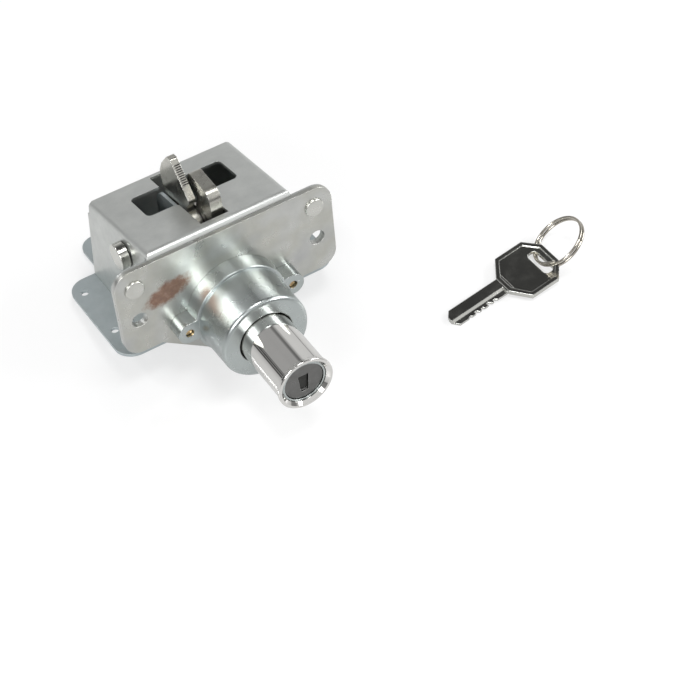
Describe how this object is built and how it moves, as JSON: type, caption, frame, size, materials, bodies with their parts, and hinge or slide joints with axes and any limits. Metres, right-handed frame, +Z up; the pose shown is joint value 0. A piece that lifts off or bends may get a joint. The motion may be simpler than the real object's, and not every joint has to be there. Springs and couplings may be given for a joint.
{
  "type": "trunk lock",
  "caption": "Push-button trunk lock with a keyed button in a round housing, ears on its front plate, two claws above a sheet case, and a key on a split ring.",
  "frame": {"origin": "centre of the bounding box on the table that the lock and its key lie on", "axes": "+X along the front plate, towards the key; +Y from the button towards the case; +Z up"},
  "size_m": [0.2171, 0.148, 0.0795],
  "materials": {
    "zinc_sheet": "zinc-plated sheet, semi-gloss",
    "rivet_steel": "plated rivet steel",
    "pin_steel": "plated steel",
    "claw_steel": "plated steel plate with sheared edges",
    "spring_steel": "spring wire",
    "die_cast_zinc": "die-cast, satin",
    "cylinder_zinc": "die-cast, turned face",
    "screw_brass": "yellow passivated",
    "chrome": "polished chrome",
    "plug_brass": "dark brushed face",
    "wafer_brass": "stamped",
    "shutter_steel": "stamped",
    "key_nickel": "nickel-plated, dark in the recessed field",
    "ring_steel": "nickel-plated wire"
  },
  "bodies": {
    "lock": {"case": "zinc_sheet", "front_plate": "zinc_sheet", "ear_rivets": "rivet_steel", "base_plate": "zinc_sheet", "base_rivets": "rivet_steel", "bracket_rivets": "rivet_steel", "claw_bracket": "zinc_sheet", "pivot_pin": "pin_steel", "pin_clip": "pin_steel", "pin_spacers": "pin_steel", "claw_washer": "pin_steel", "lever_pin": "rivet_steel", "rear_claw_spring": "spring_steel", "front_claw_spring": "spring_steel", "button_housing": "die_cast_zinc", "housing_screws": "screw_brass", "return_spring": "spring_steel"},
    "button": {"push_button": "chrome", "button_clip": "spring_steel", "push_rod": "pin_steel", "lock_cylinder": "cylinder_zinc"},
    "plug": {"lock_plug": "plug_brass", "wafers": "wafer_brass", "shutter_pin": "pin_steel", "lock_cam": "pin_steel", "cam_screw": "pin_steel"},
    "shutter": {"key_shutter": "shutter_steel"},
    "slide": {"release_slide": "zinc_sheet"},
    "lever": {"release_lever": "claw_steel"},
    "front_claw_body": {"front_claw": "claw_steel"},
    "rear_claw_body": {"rear_claw": "claw_steel"},
    "key_body": {"key": "key_nickel"},
    "ring_body": {"split_ring": "ring_steel"}
  },
  "joints": [
    {"name": "button_press", "type": "slide", "parent": "lock", "child": "button", "axis": [0, 0.9896, -0.1439], "range_m": [0, 0.006], "stiffness_N_per_m": 1500, "springref_m": -0.004, "deforming": ["return_spring"]},
    {"name": "release_slide_travel", "type": "slide", "parent": "lock", "child": "slide", "axis": [0, 0.9896, -0.1439], "range_m": [0, 0.00601]},
    {"name": "release_lever_swing", "type": "hinge", "parent": "lock", "child": "lever", "pos_m": [-0.05415, 0.02847, 0.03257], "axis": [1, 0, 0], "range_deg": [0, 29.05]},
    {"name": "front_claw_swing", "type": "hinge", "parent": "lock", "child": "front_claw_body", "pos_m": [-0.05415, 0.01848, 0.05069], "axis": [1, 0, 0], "range_deg": [0, 6.55], "deforming": ["front_claw_spring"]},
    {"name": "rear_claw_swing", "type": "hinge", "parent": "lock", "child": "rear_claw_body", "pos_m": [-0.05415, 0.01848, 0.05069], "axis": [-1, 0, 0], "range_deg": [0, 22.05], "deforming": ["rear_claw_spring"]},
    {"name": "plug_turn", "type": "hinge", "parent": "button", "child": "plug", "pos_m": [-0.05415, -0.05928, 0.03371], "axis": [0, 0.9896, -0.1439], "range_deg": [0, 90]},
    {"name": "shutter_swing", "type": "hinge", "parent": "plug", "child": "shutter", "pos_m": [-0.0566, -0.06848, 0.03504], "axis": [0, 0.1439, 0.9896], "range_deg": [0, 70], "stiffness_Nm_per_rad": 0.0006, "springref_deg": -28.65},
    {"name": "key_lift", "type": "slide", "parent": "lock", "child": "key_body", "axis": [0, 0, 1], "range_m": [0, 0.04]},
    {"name": "ring_swing", "type": "hinge", "parent": "key_body", "child": "ring_body", "pos_m": [0.08872, -0.04155, 0.0014], "axis": [-0.6264, -0.7795, 0], "range_deg": [0, 25]}
  ],
  "couplings": [
    {"joint": "release_slide_travel", "follows": "button_press", "ratio": 1},
    {"joint": "release_lever_swing", "follows": "button_press", "rad_per_m": 84.358},
    {"joint": "front_claw_swing", "follows": "button_press", "rad_per_m": 18.908},
    {"joint": "rear_claw_swing", "follows": "button_press", "rad_per_m": 63.995}
  ]
}
